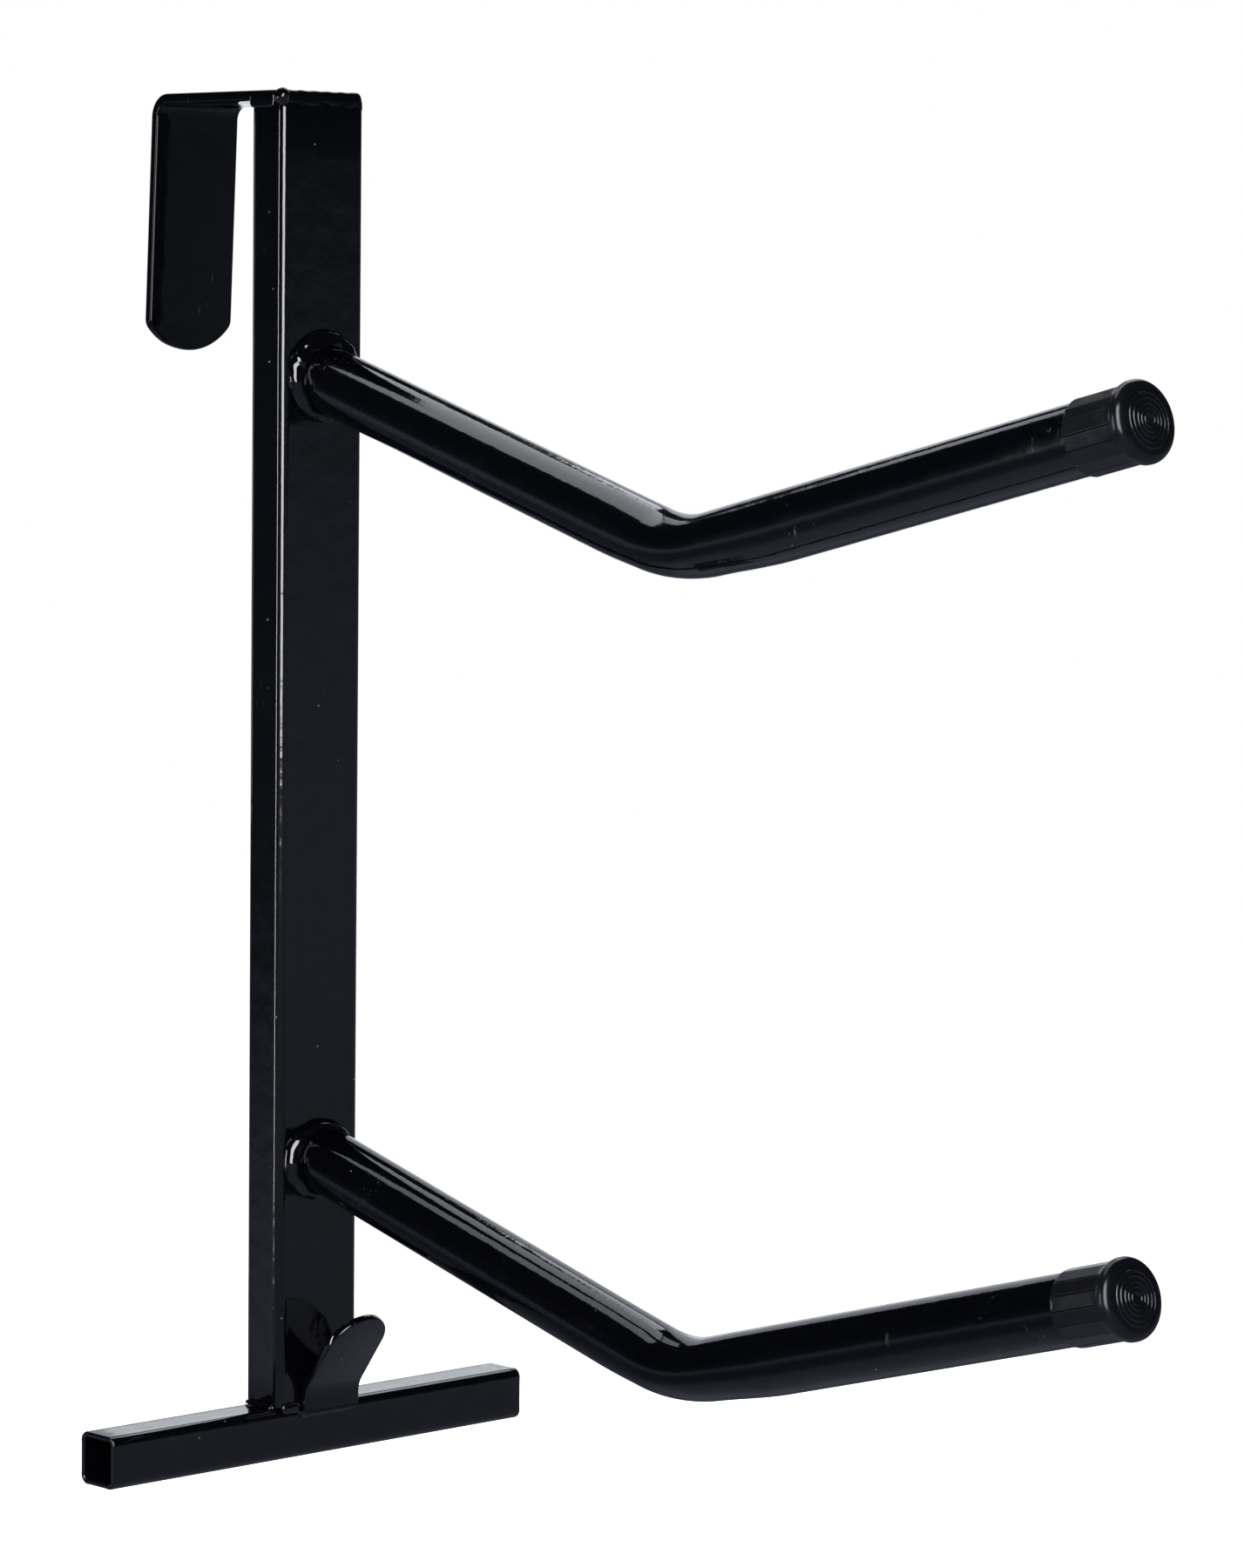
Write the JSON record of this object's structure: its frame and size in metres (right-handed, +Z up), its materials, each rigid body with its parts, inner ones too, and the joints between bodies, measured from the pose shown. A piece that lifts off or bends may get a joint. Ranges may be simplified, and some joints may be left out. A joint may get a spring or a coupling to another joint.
{
  "type": "hook-over wall rack",
  "caption": "Hook-over wall rack: a flat strap hook on a rectangular post, with bent round arms that end in plastic caps, a square foot bar and a small tongue hook.",
  "frame": {"origin": "middle of the strap's underside inside the throat, where the rack rests on the top edge of a board", "axes": "+Z up along the post, +X along the crossbar, +Y towards the board and the leg, so the arms reach to -Y"},
  "size_m": [0.204, 0.4969, 0.5201],
  "materials": {
    "frame_coat": "gloss black powder coat with a light orange peel",
    "weld_coat": "gloss black powder coat with a light orange peel over lumpy weld beads",
    "cap_plastic": "satin black moulded plastic"
  },
  "bodies": {
    "root": {"post": "frame_coat", "crossbar": "frame_coat", "hook_strap": "frame_coat", "upper_arm": "frame_coat", "lower_arm": "frame_coat", "upper_arm_cap": "cap_plastic", "lower_arm_cap": "cap_plastic", "upper_arm_weld": "weld_coat", "lower_arm_weld": "weld_coat", "tongue_hook": "frame_coat", "tongue_weld": "weld_coat", "strap_front_weld": "weld_coat", "strap_corner_weld": "weld_coat", "strap_left_weld": "weld_coat", "strap_right_weld": "weld_coat", "strap_rear_weld": "weld_coat", "post_front_weld": "weld_coat", "post_left_weld": "weld_coat", "post_right_weld": "weld_coat"}
  },
  "joints": []
}
